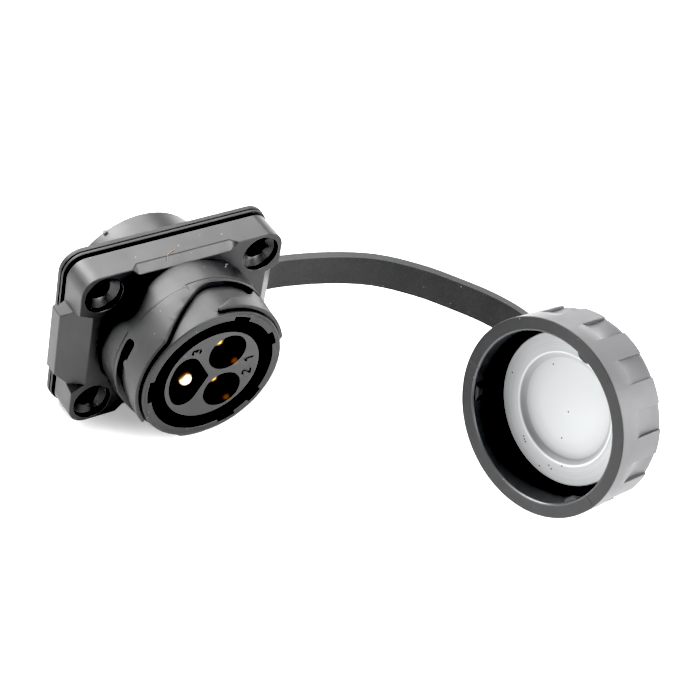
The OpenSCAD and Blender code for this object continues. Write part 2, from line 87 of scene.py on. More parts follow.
# Frame of the socket seen from the front, and frame of the cap: middle of its open rim and turns of its axis
FRONT = Matrix.Rotation(math.radians(90), 4, "X")
CAP_PLACE = Vector((38.4, 6.6, 52.9)) * MM
CAP_TURN = Euler((math.radians(10.5), math.radians(99.4), 0))
CAP_FRAME = FRONT @ Matrix.Translation(CAP_PLACE) @ CAP_TURN.to_matrix().to_4x4()

# Turn of the nub round the spigot
NUB_TURN = math.radians(121)

# Seal: sides of its disc, how squarely a face must point forward to be its front, steps down the wall of its
# dish as shares of the wall's width and the dish's depth, and rings on its floor as shares of its radius
SEAL_SIDES = 160
FACING = 0.9
SEAL_WALL_STEPS = [(0.3, 0.35), (0.3, 0.45), (0.4, 0.2)]
SEAL_FLOOR_RINGS = [0.25, 0.25, 0.25]


# Settings

def size(name, default, text):
    return FloatProperty(
        name=name, description=text, default=default * MM, min=0, precision=5, unit="LENGTH")


def share(name, default, text, top=1.0):
    return FloatProperty(name=name, description=text, default=default, min=0, max=top, subtype="FACTOR")


def colour(name, default, text):
    return FloatVectorProperty(
        name=name, description=text, default=default, size=3, min=0, max=1, subtype="COLOR")


class SocketSizes(bpy.types.PropertyGroup):
    """Small forms that the finish adds to the solids"""
    housing_edge: size("Housing edge", 0.14, "Radius of the rounded edges of the housing")
    insert_edge: size("Insert edge", 0.07, "Radius of the rounded edges of the insert")
    cap_edge: size("Cap edge", 0.11, "Radius of the rounded edges of the cap")
    strap_edge: size("Strap edge", 0.1, "Radius of the rounded edges of the gasket and strap")
    seal_r: size("Seal radius", 12.5, "Outer radius of the pale seal")
    seal_dish_r: size("Seal dish radius", 9.25, "Radius of the dished middle of the pale seal")
    seal_dish: size("Seal dish depth", 0.85, "Depth of the dished middle of the pale seal")
    seal_dish_wall: size("Seal dish wall", 0.9, "Width of the sloping wall round the dish")
    seal_ridge: size("Seal ridge", 0.12, "Half width of the fine ridge at the edge of the dish")
    seal_depth: size("Seal depth", 6, "Distance from the open rim of the cap to the seal")
    seal_t: size("Seal thickness", 1.4, "Thickness of the pale seal")
    seal_edge: size("Seal edge", 0.22, "Radius of the rounded edges of the pale seal")
    spigot_r: size("Spigot radius", 12.25, "Radius of the spigot behind the panel")
    spigot_len: size("Spigot length", 7.5, "Length of the spigot behind the panel")
    nub_w: size("Nub width", 0.8, "Width of the nub on the edge of the spigot")
    nub_len: size("Nub length", 0.7, "Length of the nub along the spigot")
    nub_out: size("Nub height", 0.35, "How far the nub stands out of the spigot")


class SocketFinish(bpy.types.PropertyGroup):
    """Colours and gloss of the materials"""
    housing: colour("Housing", (0.0088, 0.0088, 0.0092), "Dark moulded plastic of the housing")
    insert: colour("Insert", (0.021, 0.021, 0.0215), "Dark moulded plastic of the insert")
    cap: colour("Cap", (0.0125, 0.0124, 0.0128), "Dark moulded plastic of the cap")
    rubber: colour("Rubber", (0.0050, 0.0050, 0.0052), "Black rubber of the gasket, strap and ring seals")
    seal: colour("Seal", (0.54, 0.555, 0.56), "Pale rubber of the seal in the cap")
    gold: colour("Gold", (0.92, 0.52, 0.14), "Plating of the contacts")
    # Paler colour painted on the tip of the earth contact as a highlight
    gold_tip_highlight: colour("Gold tip", (1.0, 0.93, 0.78), "Polished tip of the earth contact")
    steel: colour("Steel", (0.40, 0.41, 0.42), "Plated steel of the screws and the rivet")
    dust: colour("Dust", (0.16, 0.155, 0.15), "Dust specks")
    lint: colour("Lint", (0.30, 0.22, 0.14), "Fibre on the flange")
    gate: colour("Gate", (0.22, 0.22, 0.225), "Stretched pale plastic of the nub and the flake")
    plastic_gloss: share("Plastic roughness", 0.42, "Roughness of the moulded plastic")
    rubber_gloss: share("Rubber roughness", 0.55, "Roughness of the black rubber")


class SocketStudio(bpy.types.PropertyGroup):
    """Camera, floor and light"""
    lens: FloatProperty(name="Lens", description="Focal length", default=112.575, min=1, unit="CAMERA")
    floor: colour("Floor", (0.80, 0.80, 0.80), "Pale floor")
    glow: share("Floor glow", 0.30, "Light that comes up through the floor", 5.0)
    softbox: size("Softbox", 320, "Width of a softbox")
    distance: size("Distance", 600, "Distance of the softboxes from the part")
    black: share("Black level", 0.042, "Light that still prints as black")


# Selecting and shaping

def activate(obj):
    bpy.ops.object.select_all(action="DESELECT")
    obj.select_set(True)
    bpy.context.view_layer.objects.active = obj


def editing(obj):
    activate(obj)
    bpy.ops.object.mode_set(mode="EDIT")
    bpy.ops.mesh.select_all(action="SELECT")


def done_editing():
    bpy.ops.object.mode_set(mode="OBJECT")


def modify(obj, kind, **settings):
    """Add one modifier with these settings and apply it."""
    activate(obj)
    made = obj.modifiers.new(kind.title(), kind)
    for name, value in settings.items():
        setattr(made, name, value)
    bpy.ops.object.modifier_apply(modifier=made.name)


def round_edges(obj, radius, steps=3):
    """Round the sharp outward edges of a piece; inward corners stay crisp."""
    editing(obj)
    bpy.ops.mesh.select_mode(type="EDGE")
    bpy.ops.mesh.select_all(action="DESELECT")
    shape = bmesh.from_edit_mesh(obj.data)
    for edge in shape.edges:
        edge.select_set(edge.is_manifold and edge.calc_face_angle_signed() > SHARP)
    bmesh.update_edit_mesh(obj.data)
    bpy.ops.transform.edge_bevelweight(value=1)
    bpy.ops.mesh.select_mode(type="FACE")
    done_editing()
    modify(obj, "BEVEL", width=radius, segments=steps, limit_method="WEIGHT", use_clamp_overlap=False,
           miter_outer="MITER_ARC", loop_slide=False)
    activate(obj)
    bpy.ops.object.shade_smooth_by_angle(angle=SHARP)
    modify(obj, "WEIGHTED_NORMAL", keep_sharp=True, weight=WEIGHT)


def select_faces(obj, wanted):
    """In edit mode, select only the faces that pass a test."""
    shape = bmesh.from_edit_mesh(obj.data)
    for face in shape.faces:
        face.select_set(wanted(face))
    bmesh.update_edit_mesh(obj.data)


def settle(obj, matrix):
    """Lay a piece in its place and write that place into its mesh."""
    activate(obj)
    obj.matrix_world = matrix @ obj.matrix_world
    bpy.ops.object.transform_apply(location=True, rotation=True, scale=True)


def moulded_copy(node, name, radius, steps=3):
    """Copy of a solid as one closed mesh with rounded edges."""
    piece = bpy.data.objects.new(name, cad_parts[node].data.copy())
    bpy.context.scene.collection.objects.link(piece)
    editing(piece)
    bpy.ops.mesh.customdata_custom_splitnormals_clear()
    bpy.ops.mesh.remove_doubles(threshold=MERGE)
    bpy.ops.mesh.dissolve_limited(angle_limit=FLAT)
    done_editing()
    round_edges(piece, radius, steps)
    return piece


def paint(obj, material):
    obj.data.materials.clear()
    obj.data.materials.append(material)


# Shader node helpers

def feed(tree, sockets, values):
    """Link each input socket to the socket given for it, or set it to the value given."""
    for key, value in values.items():
        if isinstance(value, bpy.types.NodeSocket):
            tree.links.new(value, sockets[key])
        else:
            sockets[key].default_value = value


def add(tree, kind, inputs=None, **settings):
    made = tree.nodes.new("ShaderNode" + kind)
    for name, value in settings.items():
        setattr(made, name, value)
    feed(tree, made.inputs, inputs or {})
    return made


def maths(tree, operation, *values):
    return add(tree, "Math", dict(enumerate(values)), operation=operation).outputs[0]


def maths_vector(tree, operation, a, b):
    return add(tree, "VectorMath", {0: a, 1: b}, operation=operation)


def mix_colour(tree, factor, a, b):
    made = add(tree, "Mix", data_type="RGBA")
    wanted = {("Factor", "VALUE"), ("A", "RGBA"), ("B", "RGBA")}
    sockets = {s.name: s for s in made.inputs if (s.name, s.type) in wanted}
    feed(tree, sockets, {"Factor": factor, "A": a, "B": b})
    return next(s for s in made.outputs if s.type == "RGBA")


def mix_value(tree, factor, a, b):
    return maths(tree, "ADD", a, maths(tree, "MULTIPLY", factor, maths(tree, "SUBTRACT", b, a)))


def ramp(tree, value, start, end):
    """Share from 0 to 1 as a value goes from start to end."""
    return add(tree, "MapRange", {"Value": value, "From Min": start, "From Max": end}).outputs["Result"]


def most(tree, masks):
    total = masks[0]
    for mask in masks[1:]:
        total = maths(tree, "MAXIMUM", total, mask)
    return total


def both(tree, a, b):
    return maths(tree, "MULTIPLY", a, b)


def bump(tree, height, strength, distance, under=None):
    inputs = {"Height": height, "Strength": strength, "Distance": distance}
    if under:
        inputs["Normal"] = under
    return add(tree, "Bump", inputs).outputs["Normal"]


def object_vector(tree):
    return add(tree, "TexCoord").outputs["Object"]


def turned_vector(tree, matrix):
    """Object coordinates taken into the frame of a turned piece."""
    inverse = matrix.inverted()
    return add(tree, "Mapping", {
        "Vector": object_vector(tree), "Location": inverse.translation,
        "Rotation": inverse.to_euler()}).outputs["Vector"]


def off_axes(tree, own, places):
    """Distance from the nearest of several axes that stand at these places in the turned frame."""
    flat = maths_vector(tree, "MULTIPLY", own, (1, 1, 0)).outputs["Vector"]
    nearest = None
    for place in places:
        away = maths_vector(tree, "DISTANCE", flat, Vector((*place, 0)) * MM).outputs["Value"]
        nearest = maths(tree, "MINIMUM", nearest, away) if nearest else away
    return maths(tree, "DIVIDE", nearest, MM)


# Node groups that several finishes share

# Grain: detail of the fine grain and of the soft clouds in its roughness, scale of the clouds as a share of
# the grain's, and middle value of a noise
GRAIN_DETAIL = 3.0
CLOUD_DETAIL = 4.0
CLOUD_SCALE = 0.06
NOISE_MIDDLE = 0.5

# Smallest speck as a share of the radius that is asked for
SPECK_LEAST = 0.4


def new_group(name, inputs, outputs):
    """Empty shader node group with these sockets; returns it, what it is given and what it gives."""
    group = bpy.data.node_groups.new(name, "ShaderNodeTree")
    for way, sockets in (("INPUT", inputs), ("OUTPUT", outputs)):
        for socket in sockets:
            kind = "NodeSocketVector" if socket == "Vector" else "NodeSocketFloat"
            group.interface.new_socket(socket, in_out=way, socket_type=kind)
    return group, group.nodes.new("NodeGroupInput").outputs, group.nodes.new("NodeGroupOutput").inputs


def grain_group():
    """Fine moulded grain: a height for bump and a roughness that wanders a little."""
    group, given, result = new_group(
        "Moulded grain", ["Vector", "Scale", "Roughness", "Spread"], ["Height", "Roughness"])
    fine = add(group, "TexNoise", {
        "Vector": given["Vector"], "Scale": given["Scale"], "Detail": GRAIN_DETAIL})
    patch = maths(group, "MULTIPLY", given["Scale"], CLOUD_SCALE)
    cloud = add(group, "TexNoise", {"Vector": given["Vector"], "Scale": patch, "Detail": CLOUD_DETAIL})
    off = maths(group, "SUBTRACT", cloud.outputs["Fac"], NOISE_MIDDLE)
    wander = maths(group, "MULTIPLY", off, given["Spread"])
    group.links.new(fine.outputs["Fac"], result["Height"])
    group.links.new(maths(group, "ADD", given["Roughness"], wander), result["Roughness"])
    return group


def speck_group():
    """Scattered round specks: the share of cells that hold one, and their radius in cells."""
    group, given, result = new_group("Specks", ["Vector", "Scale", "Radius", "Share"], ["Mask"])
    cells = add(group, "TexVoronoi", {"Vector": given["Vector"], "Scale": given["Scale"]})
    tone = add(group, "SeparateColor", {"Color": cells.outputs["Color"]})
    kept = maths(group, "LESS_THAN", tone.outputs["Red"], given["Share"])
    grown = maths(group, "ADD", tone.outputs["Green"], SPECK_LEAST)
    wide = maths(group, "MULTIPLY", given["Radius"], grown)
    near = maths(group, "LESS_THAN", cells.outputs["Distance"], wide)
    group.links.new(both(group, kept, near), result["Mask"])
    return group


def axis_group():
    """Distance along the local Z axis and radius about it in millimetres, and angle in degrees."""
    group, given, result = new_group("About the axis", ["Vector"], ["Along", "Radius", "Angle"])
    part = add(group, "SeparateXYZ", {"Vector": given["Vector"]})
    x, y, z = (maths(group, "DIVIDE", part.outputs[k], MM) for k in "XYZ")
    squares = [maths(group, "MULTIPLY", side, side) for side in (x, y)]
    group.links.new(z, result["Along"])
    group.links.new(maths(group, "SQRT", maths(group, "ADD", *squares)), result["Radius"])
    group.links.new(maths(group, "DEGREES", maths(group, "ARCTAN2", y, x)), result["Angle"])
    return group


def line_group():
    """Thin line where a value passes its centre, soft over its width, between two ends of another value."""
    group, given, result = new_group(
        "Thin line", ["Value", "Centre", "Width", "Other", "From", "To"], ["Mask"])
    off = maths(group, "ABSOLUTE", maths(group, "SUBTRACT", given["Value"], given["Centre"]))
    close = maths(group, "SUBTRACT", 1.0, maths(group, "DIVIDE", off, given["Width"]))
    inside = both(group, maths(group, "GREATER_THAN", given["Other"], given["From"]),
                  maths(group, "LESS_THAN", given["Other"], given["To"]))
    group.links.new(both(group, maths(group, "MAXIMUM", close, 0.0), inside), result["Mask"])
    return group


GROUP_MAKERS = {"grain": grain_group, "specks": speck_group, "axis": axis_group, "line": line_group}
GROUPS = {}


def place_group(tree, kind, inputs):
    """Place a group, which is built the first time it is asked for; returns its outputs."""
    if kind not in GROUPS:
        GROUPS[kind] = GROUP_MAKERS[kind]()
    return add(tree, "Group", inputs, node_tree=GROUPS[kind]).outputs


def line(tree, value, centre, width, other, start, end):
    return place_group(tree, "line", {
        "Value": value, "Centre": centre, "Width": width, "Other": other, "From": start, "To": end})["Mask"]


# Finishes

def new_material(name):
    made = bpy.data.materials.new(name)
    made.use_nodes = True
    tree = made.node_tree
    return made, tree, tree.nodes["Principled BSDF"].inputs


def clouded(tree, vector, colour_value, lift, scale, detail, span):
    """Colour that is lifted in soft clouds, where a noise goes through this span."""
    cloud = add(tree, "TexNoise", {"Vector": vector, "Scale": scale, "Detail": detail}).outputs["Fac"]
    paler = tuple(c + lift for c in colour_value) + (1,)
    return mix_colour(tree, ramp(tree, cloud, *span), (*colour_value, 1), paler)


# Moulded plastic: grain, film and dust, how much duller the insert, the cap and the dust are, colour and
# share of the mould lines and of the shade painted in sunk numbers, and strength and depth in metres of grain
# and lines
PLASTIC_GRAIN = 5200.0
INSERT_GRAIN = 6000.0
PLASTIC_SPREAD = 0.16
PLASTIC_FILM = {"lift": 0.007, "scale": 130.0, "detail": 6.0, "span": (0.5, 0.8)}
PLASTIC_DUST = {"Scale": 900.0, "Radius": 0.08}
DUST_SHARE = 0.2
INSERT_DUST_SHARE = 0.02
INSERT_DULLER = 0.03
CAP_DULLER = 0.02
DUST_DULLER = 0.3
SEAM_AND_SHADE_COLOUR = (0.004, 0.004, 0.004, 1)
SEAM_AND_SHADE_SHARE = 0.7
GRAIN_BUMP = (0.5, 0.012 * MM)
SEAM_BUMP = (1.0, 0.06 * MM)


def plastic(name, colour_value, gloss, dust, matrix, lines, zones, grain=PLASTIC_GRAIN, dusty=DUST_SHARE):
    """Satin moulded plastic with fine grain, a faint film, dust, thin dark lines and its own zones; the lines
    are mould lines, and shade painted in the sunk numbers of the insert.
    """
    made, tree, shader = new_material(name)
    vector = object_vector(tree)
    own = turned_vector(tree, matrix)
    about = place_group(tree, "axis", {"Vector": own})
    grown = place_group(tree, "grain", {
        "Vector": vector, "Scale": grain, "Roughness": gloss, "Spread": PLASTIC_SPREAD})
    specks = place_group(tree, "specks", {"Vector": vector, "Share": dusty, **PLASTIC_DUST})["Mask"]
    base = clouded(tree, vector, colour_value, **PLASTIC_FILM)
    base, rough = zones(tree, shader, own, about, base, grown["Roughness"])
    # Dark lines: mould lines, and on the insert the shade painted in its sunk numbers
    seams = lines(tree, about)
    base = mix_colour(tree, maths(tree, "MULTIPLY", seams, SEAM_AND_SHADE_SHARE), base, SEAM_AND_SHADE_COLOUR)
    rough = maths(tree, "ADD", rough, maths(tree, "MULTIPLY", specks, DUST_DULLER))
    fine = bump(tree, grown["Height"], *GRAIN_BUMP)
    cut = maths(tree, "SUBTRACT", 1.0, seams)
    tree.links.new(mix_colour(tree, specks, base, (*dust, 1)), shader["Base Color"])
    tree.links.new(rough, shader["Roughness"])
    tree.links.new(bump(tree, cut, *SEAM_BUMP, fine), shader["Normal"])
    return made


# Housing: axes of the screw holes seen from the front, radii of their bores and head recesses, the gloss of
# the recesses, and the shade painted inside the bores with their gloss
SCREW_PLACES = [(14, 11.2), (14, -11.2), (-14, 11.2), (-14, -11.2)]
SCREW_BORE_R = 1.8
HEAD_RECESS_R = 3.3
HEAD_RECESS_GLOSS = 0.27
SCREW_BORE_SHADE = (0.001, 0.001, 0.001, 1)
SCREW_BORE_GLOSS = 1.0


def housing_zones(tree, shader, own, about, base, rough):
    """The head recesses are polished, and the screw holes are dull inside and painted dark as shade."""
    off = off_axes(tree, own, SCREW_PLACES)
    recess = maths(tree, "LESS_THAN", off, HEAD_RECESS_R)
    bore = maths(tree, "LESS_THAN", off, SCREW_BORE_R)
    rough = mix_value(tree, recess, rough, HEAD_RECESS_GLOSS)
    return mix_colour(tree, bore, base, SCREW_BORE_SHADE), mix_value(tree, bore, rough, SCREW_BORE_GLOSS)


# Mould lines round the barrel: distance from the panel, width, first and last angle, strength
BARREL_LINES = [
    (11.85, 0.2, 57.0, 101.0, 1.0), (11.85, 0.11, 150.0, 180.0, 1.0), (12.2, 0.1, 101.0, 140.0, 0.4)]

# Step between two of those lines: angle, width, first and last distance from the panel
BARREL_STEP = (100.5, 0.5, 11.9, 12.9)

# Fine ring on the rim of the barrel: radius, width, first and last distance from the panel
RIM_RING = (11.98, 0.08, 19.05, 30.0)


def housing_lines(tree, about):
    """Mould lines of the barrel, where the two halves of its tool met, and the fine ring on its rim."""
    along, radius, angle = about["Along"], about["Radius"], about["Angle"]
    lines = []
    for place, width, start, end, strength in BARREL_LINES:
        mask = line(tree, along, place, width, angle, start, end)
        lines.append(maths(tree, "MULTIPLY", mask, strength))
    for value, (place, width, start, end) in ((angle, BARREL_STEP), (radius, RIM_RING)):
        lines.append(line(tree, value, place, width, along, start, end))
    return most(tree, lines)


# Insert: places, colour and strength of the painted reflection of the contacts that glows in the round wells,
# and its reach in metres, none to full
WELL_GLOWS = [(4.16, 1.17, 18.6), (3.92, -6.78, 18.4)]
GLOW_COLOUR = (0.17, 0.07, 0.01, 1)
GLOW_STRENGTH = 1.0
GLOW_REACH = (0.8 * MM, 0.1 * MM)

# Floors of the sunk numbers, painted dark as shade: distance from the panel and width, with no limits to
# another value
NUMBER_FLOOR = (18.75, 0.2)
NO_LIMITS = (0.0, -1.0, 1.0)


def insert_zones(tree, shader, own, about, base, rough):
    """A faint gold glow, painted low in the two round wells, where their walls would mirror the contacts."""
    spots = []
    for place in WELL_GLOWS:
        near = maths_vector(tree, "DISTANCE", own, Vector(place) * MM).outputs["Value"]
        spots.append(ramp(tree, near, *GLOW_REACH))
    tree.links.new(mix_colour(tree, most(tree, spots), BLACK, GLOW_COLOUR), shader["Emission Color"])
    shader["Emission Strength"].default_value = GLOW_STRENGTH
    return base, rough


def insert_lines(tree, about):
    """Floors of the sunk numbers, painted dark as shade."""
    return line(tree, about["Along"], *NUMBER_FLOOR, *NO_LIMITS)


# Cap: colours painted as a paler sheen on its outside, as shade on its inside and as a highlight at its
# polished mouth, with the radius where each begins or ends, the distance behind the rim over which it comes
# in or at which it stops, and the gloss of the mouth
CAP_OUTSIDE_SHEEN = (0.052, 0.0505, 0.0535, 1)
CAP_OUTSIDE_SHEEN_R = 14.6
CAP_OUTSIDE_SHEEN_FROM = (0.1, 0.3)
CAP_INSIDE_SHADE = (0.0125, 0.0125, 0.013, 1)
CAP_INSIDE_SHADE_R = 14.0
CAP_INSIDE_SHADE_FROM = (0.4, 0.6)
CAP_MOUTH_HIGHLIGHT = (0.06, 0.062, 0.068, 1)
CAP_MOUTH_R = 14.06
CAP_MOUTH_DEPTH = 0.32
CAP_MOUTH_GLOSS = 0.25

# Seams across the rim of the cap: angles, width, first and last distance behind the rim
CAP_SEAM_ANGLES = [-1.2, -157.3]
CAP_SEAM_WIDTH = 0.35
CAP_SEAM_REACH = (-1.0, 0.3)


def cap_zones(tree, shader, own, about, base, rough):
    """The outside of the cap is painted paler as a sheen, its inside is painted in shade, and its polished
    mouth carries a painted highlight.
    """
    along, radius = about["Along"], about["Radius"]
    inside = both(tree, ramp(tree, along, *CAP_INSIDE_SHADE_FROM), maths(tree, "LESS_THAN", radius, CAP_INSIDE_SHADE_R))
    outside = both(tree, ramp(tree, along, *CAP_OUTSIDE_SHEEN_FROM), maths(tree, "GREATER_THAN", radius, CAP_OUTSIDE_SHEEN_R))
    mouth = both(tree, maths(tree, "LESS_THAN", radius, CAP_MOUTH_R),
                 maths(tree, "LESS_THAN", along, CAP_MOUTH_DEPTH))
    # Painted sheen outside, painted shade inside and painted highlight at the mouth
    for mask, tone in ((inside, CAP_INSIDE_SHADE), (outside, CAP_OUTSIDE_SHEEN), (mouth, CAP_MOUTH_HIGHLIGHT)):
        base = mix_colour(tree, mask, base, tone)
    return base, mix_value(tree, mouth, rough, CAP_MOUTH_GLOSS)


def cap_lines(tree, about):
    """Two fine seams across the rim of the cap."""
    return most(tree, [
        line(tree, about["Angle"], angle, CAP_SEAM_WIDTH, about["Along"], *CAP_SEAM_REACH)
        for angle in CAP_SEAM_ANGLES])


# Black rubber: grain, bloom and dust, and strength and depth in metres of its grain
RUBBER_GRAIN = {"Scale": 3200.0, "Spread": 0.2}
RUBBER_BLOOM = {"lift": 0.010, "scale": 3600.0, "detail": 2.0, "span": (0.5, 0.75)}
RUBBER_DUST = {"Scale": 1100.0, "Radius": 0.09, "Share": 0.14}
RUBBER_BUMP = (0.3, 0.02 * MM)


def black_rubber(name, colour_value, gloss, dust):
    """Black rubber with fine grain, a pale bloom and dust."""
    made, tree, shader = new_material(name)
    vector = object_vector(tree)
    grown = place_group(tree, "grain", {"Vector": vector, "Roughness": gloss, **RUBBER_GRAIN})
    specks = place_group(tree, "specks", {"Vector": vector, **RUBBER_DUST})["Mask"]
    base = clouded(tree, vector, colour_value, **RUBBER_BLOOM)
    tree.links.new(mix_colour(tree, specks, base, (*dust, 1)), shader["Base Color"])
    tree.links.new(grown["Roughness"], shader["Roughness"])
    tree.links.new(bump(tree, grown["Height"], *RUBBER_BUMP), shader["Normal"])
    return made


# Tones painted on the seal, as shade on its shaded side and as highlight on its ridge and lit side: radius,
# share of its colour; and the angle of the middle of the shaded side
SEAL_SHADED = [
    (5.2, 1.0), (7.0, 0.85), (7.6, 0.72), (8.1, 0.56), (8.3, 0.34), (9.0, 0.4), (9.14, 1.14), (9.3, 1.14),
    (9.4, 0.94), (12.5, 0.88)]
SEAL_LIT = [
    (8.1, 1.0), (8.34, 0.8), (8.7, 0.85), (9.06, 0.95), (9.14, 1.2), (9.3, 1.2), (9.4, 0.98), (12.5, 0.98)]
SEAL_SHADE_TURN = -85.0

# Places of the dark marks on the seal, in the frame of the cap, their radius and colour
SEAL_MARKS = [
    (-0.42, -0.43), (-1.24, -5.12), (5.47, 4.74), (-3.76, -8.68), (-1.57, -10.24), (-2.22, -10.47),
    (-0.05, -11.54), (4.71, -9.06), (4.4, -9.45), (4.05, -9.7), (11.25, -0.96)]
SEAL_MARK_R = 0.15
SEAL_MARK_COLOUR = (0.10, 0.09, 0.075, 1)

# Turned rings on the flat of the seal: noise, span of it that shows, radius where they begin, colour and
# share; then the grain of the seal, and strength and depth in metres of rings and grain
SEAL_RINGS = {"Scale": 5.0, "Detail": 3.0}
SEAL_RING_SPAN = (0.55, 0.7)
SEAL_RING_FROM = 9.5
SEAL_RING_COLOUR = (0.2, 0.2, 0.2, 1)
SEAL_RING_SHARE = 0.25
SEAL_GRAIN = {"Scale": 2400.0, "Roughness": 0.5, "Spread": 0.12}
SEAL_BUMP = (0.12, 0.02 * MM)


def tones(tree, radius, stops, colour_value):
    """Colour that goes through these tones along a radius."""
    reach = stops[-1][0]
    made = add(tree, "ValToRGB", {"Fac": maths(tree, "DIVIDE", radius, reach)})
    elements = made.color_ramp.elements
    while len(elements) < len(stops):
        elements.new(1.0)
    for element, (place, tone) in zip(elements, stops):
        element.position = place / reach
        element.color = (*(tone * c for c in colour_value), 1)
    return made.outputs["Color"]


def pale_rubber(name, colour_value):
    """Pale rubber with painted shade on one side of the dish, a painted highlight on its ridge, turned rings
    and a few dark marks.
    """
    made, tree, shader = new_material(name)
    own = turned_vector(tree, CAP_FRAME)
    about = place_group(tree, "axis", {"Vector": own})
    radius = about["Radius"]
    grown = place_group(tree, "grain", {"Vector": own, **SEAL_GRAIN})
    turn = maths(tree, "RADIANS", maths(tree, "SUBTRACT", about["Angle"], SEAL_SHADE_TURN))
    shaded = ramp(tree, maths(tree, "COSINE", turn), -1.0, 1.0)
    # Painted shade and highlight of the dish, mixed by the side it lies on
    base = mix_colour(tree, shaded, tones(tree, radius, SEAL_LIT, colour_value),
                      tones(tree, radius, SEAL_SHADED, colour_value))
    noise = add(tree, "TexNoise", {"W": radius, **SEAL_RINGS}, noise_dimensions="1D").outputs["Fac"]
    flat = maths(tree, "GREATER_THAN", radius, SEAL_RING_FROM)
    rings = both(tree, ramp(tree, noise, *SEAL_RING_SPAN), flat)
    base = mix_colour(tree, maths(tree, "MULTIPLY", rings, SEAL_RING_SHARE), base, SEAL_RING_COLOUR)
    marks = maths(tree, "LESS_THAN", off_axes(tree, own, SEAL_MARKS), SEAL_MARK_R)
    height = maths(tree, "ADD", rings, grown["Height"])
    tree.links.new(mix_colour(tree, marks, base, SEAL_MARK_COLOUR), shader["Base Color"])
    tree.links.new(grown["Roughness"], shader["Roughness"])
    tree.links.new(bump(tree, height, *SEAL_BUMP), shader["Normal"])
    return made


# Metal: spread of its roughness, lathe marks round the axis, share and tone of what they dull, and strength
# and depth in metres of the marks
METAL_SPREAD = 0.12
LATHE_STRETCH = (900.0, 9000.0, 900.0)
LATHE_MARKS = {"Scale": 1.0, "Detail": 2.0}
LATHE_SHARE = 0.5
LATHE_TONE = 0.7
LATHE_BUMP = (0.12, 0.01 * MM)

# Axis of the earth contact seen from the front, and radii where the highlight painted on its tip fades out
# and is full
EARTH_PLACE = (-4.5, 0)
EARTH_TIP_HIGHLIGHT = (1.25, 0.8)


def metal(name, colour_value, gloss, grain, tip=None):
    """Turned and plated metal with fine lathe marks; the tip of the earth contact is painted paler as a
    highlight.
    """
    made, tree, shader = new_material(name)
    vector = object_vector(tree)
    grown = place_group(tree, "grain", {
        "Vector": vector, "Scale": grain, "Roughness": gloss, "Spread": METAL_SPREAD})
    stretched = add(tree, "Mapping", {"Vector": vector, "Scale": LATHE_STRETCH}).outputs["Vector"]
    marks = add(tree, "TexNoise", {"Vector": stretched, **LATHE_MARKS}).outputs["Fac"]
    dull = tuple(LATHE_TONE * c for c in colour_value) + (1,)
    base = mix_colour(tree, maths(tree, "MULTIPLY", marks, LATHE_SHARE), (*colour_value, 1), dull)
    if tip:
        off = off_axes(tree, turned_vector(tree, FRONT), [EARTH_PLACE])
        base = mix_colour(tree, ramp(tree, off, *EARTH_TIP_HIGHLIGHT), base, (*tip, 1))
    tree.links.new(base, shader["Base Color"])
    tree.links.new(grown["Roughness"], shader["Roughness"])
    tree.links.new(bump(tree, marks, *LATHE_BUMP), shader["Normal"])
    shader["Metallic"].default_value = 1.0
    return made


# Lint: scale and tone of its darker patches, and roughness
LINT_PATCHES = 2500.0
LINT_TONE = 0.5
LINT_ROUGH = 0.8


def lint(name, colour_value):
    """Dry fibre or stretched plastic, darker in places."""
    made, tree, shader = new_material(name)
    patches = add(tree, "TexNoise", {"Vector": object_vector(tree), "Scale": LINT_PATCHES}).outputs["Fac"]
    dark = tuple(LINT_TONE * c for c in colour_value) + (1,)
    tree.links.new(mix_colour(tree, patches, (*colour_value, 1), dark), shader["Base Color"])
    shader["Roughness"].default_value = LINT_ROUGH
    return made


MATERIALS = {}


def finish_of(name):
    """The named finish, made the first time it is asked for."""
    look = bpy.context.scene.socket_finish
    gloss, dust = look.plastic_gloss, look.dust
    makers = {
        "housing_plastic": lambda: plastic(
            "Housing plastic", look.housing, gloss, dust, FRONT, housing_lines, housing_zones),
        "insert_plastic": lambda: plastic(
            "Insert plastic", look.insert, gloss + INSERT_DULLER, dust, FRONT, insert_lines, insert_zones,
            grain=INSERT_GRAIN, dusty=INSERT_DUST_SHARE),
        "cap_plastic": lambda: plastic(
            "Cap plastic", look.cap, gloss + CAP_DULLER, dust, CAP_FRAME, cap_lines, cap_zones),
        "pale_plastic": lambda: lint("Stretched plastic", look.gate),
        "rubber": lambda: black_rubber("Black rubber", look.rubber, look.rubber_gloss, dust),
        "seal": lambda: pale_rubber("Pale rubber", look.seal),
        "gold": lambda: metal("Gold plate", look.gold, gloss=0.33, grain=3000.0, tip=look.gold_tip_highlight),
        "steel": lambda: metal("Plated steel", look.steel, gloss=0.3, grain=2500.0),
        "lint": lambda: lint("Lint", look.lint),
    }
    if name not in MATERIALS:
        MATERIALS[name] = makers[name]()
    return MATERIALS[name]


# Pieces

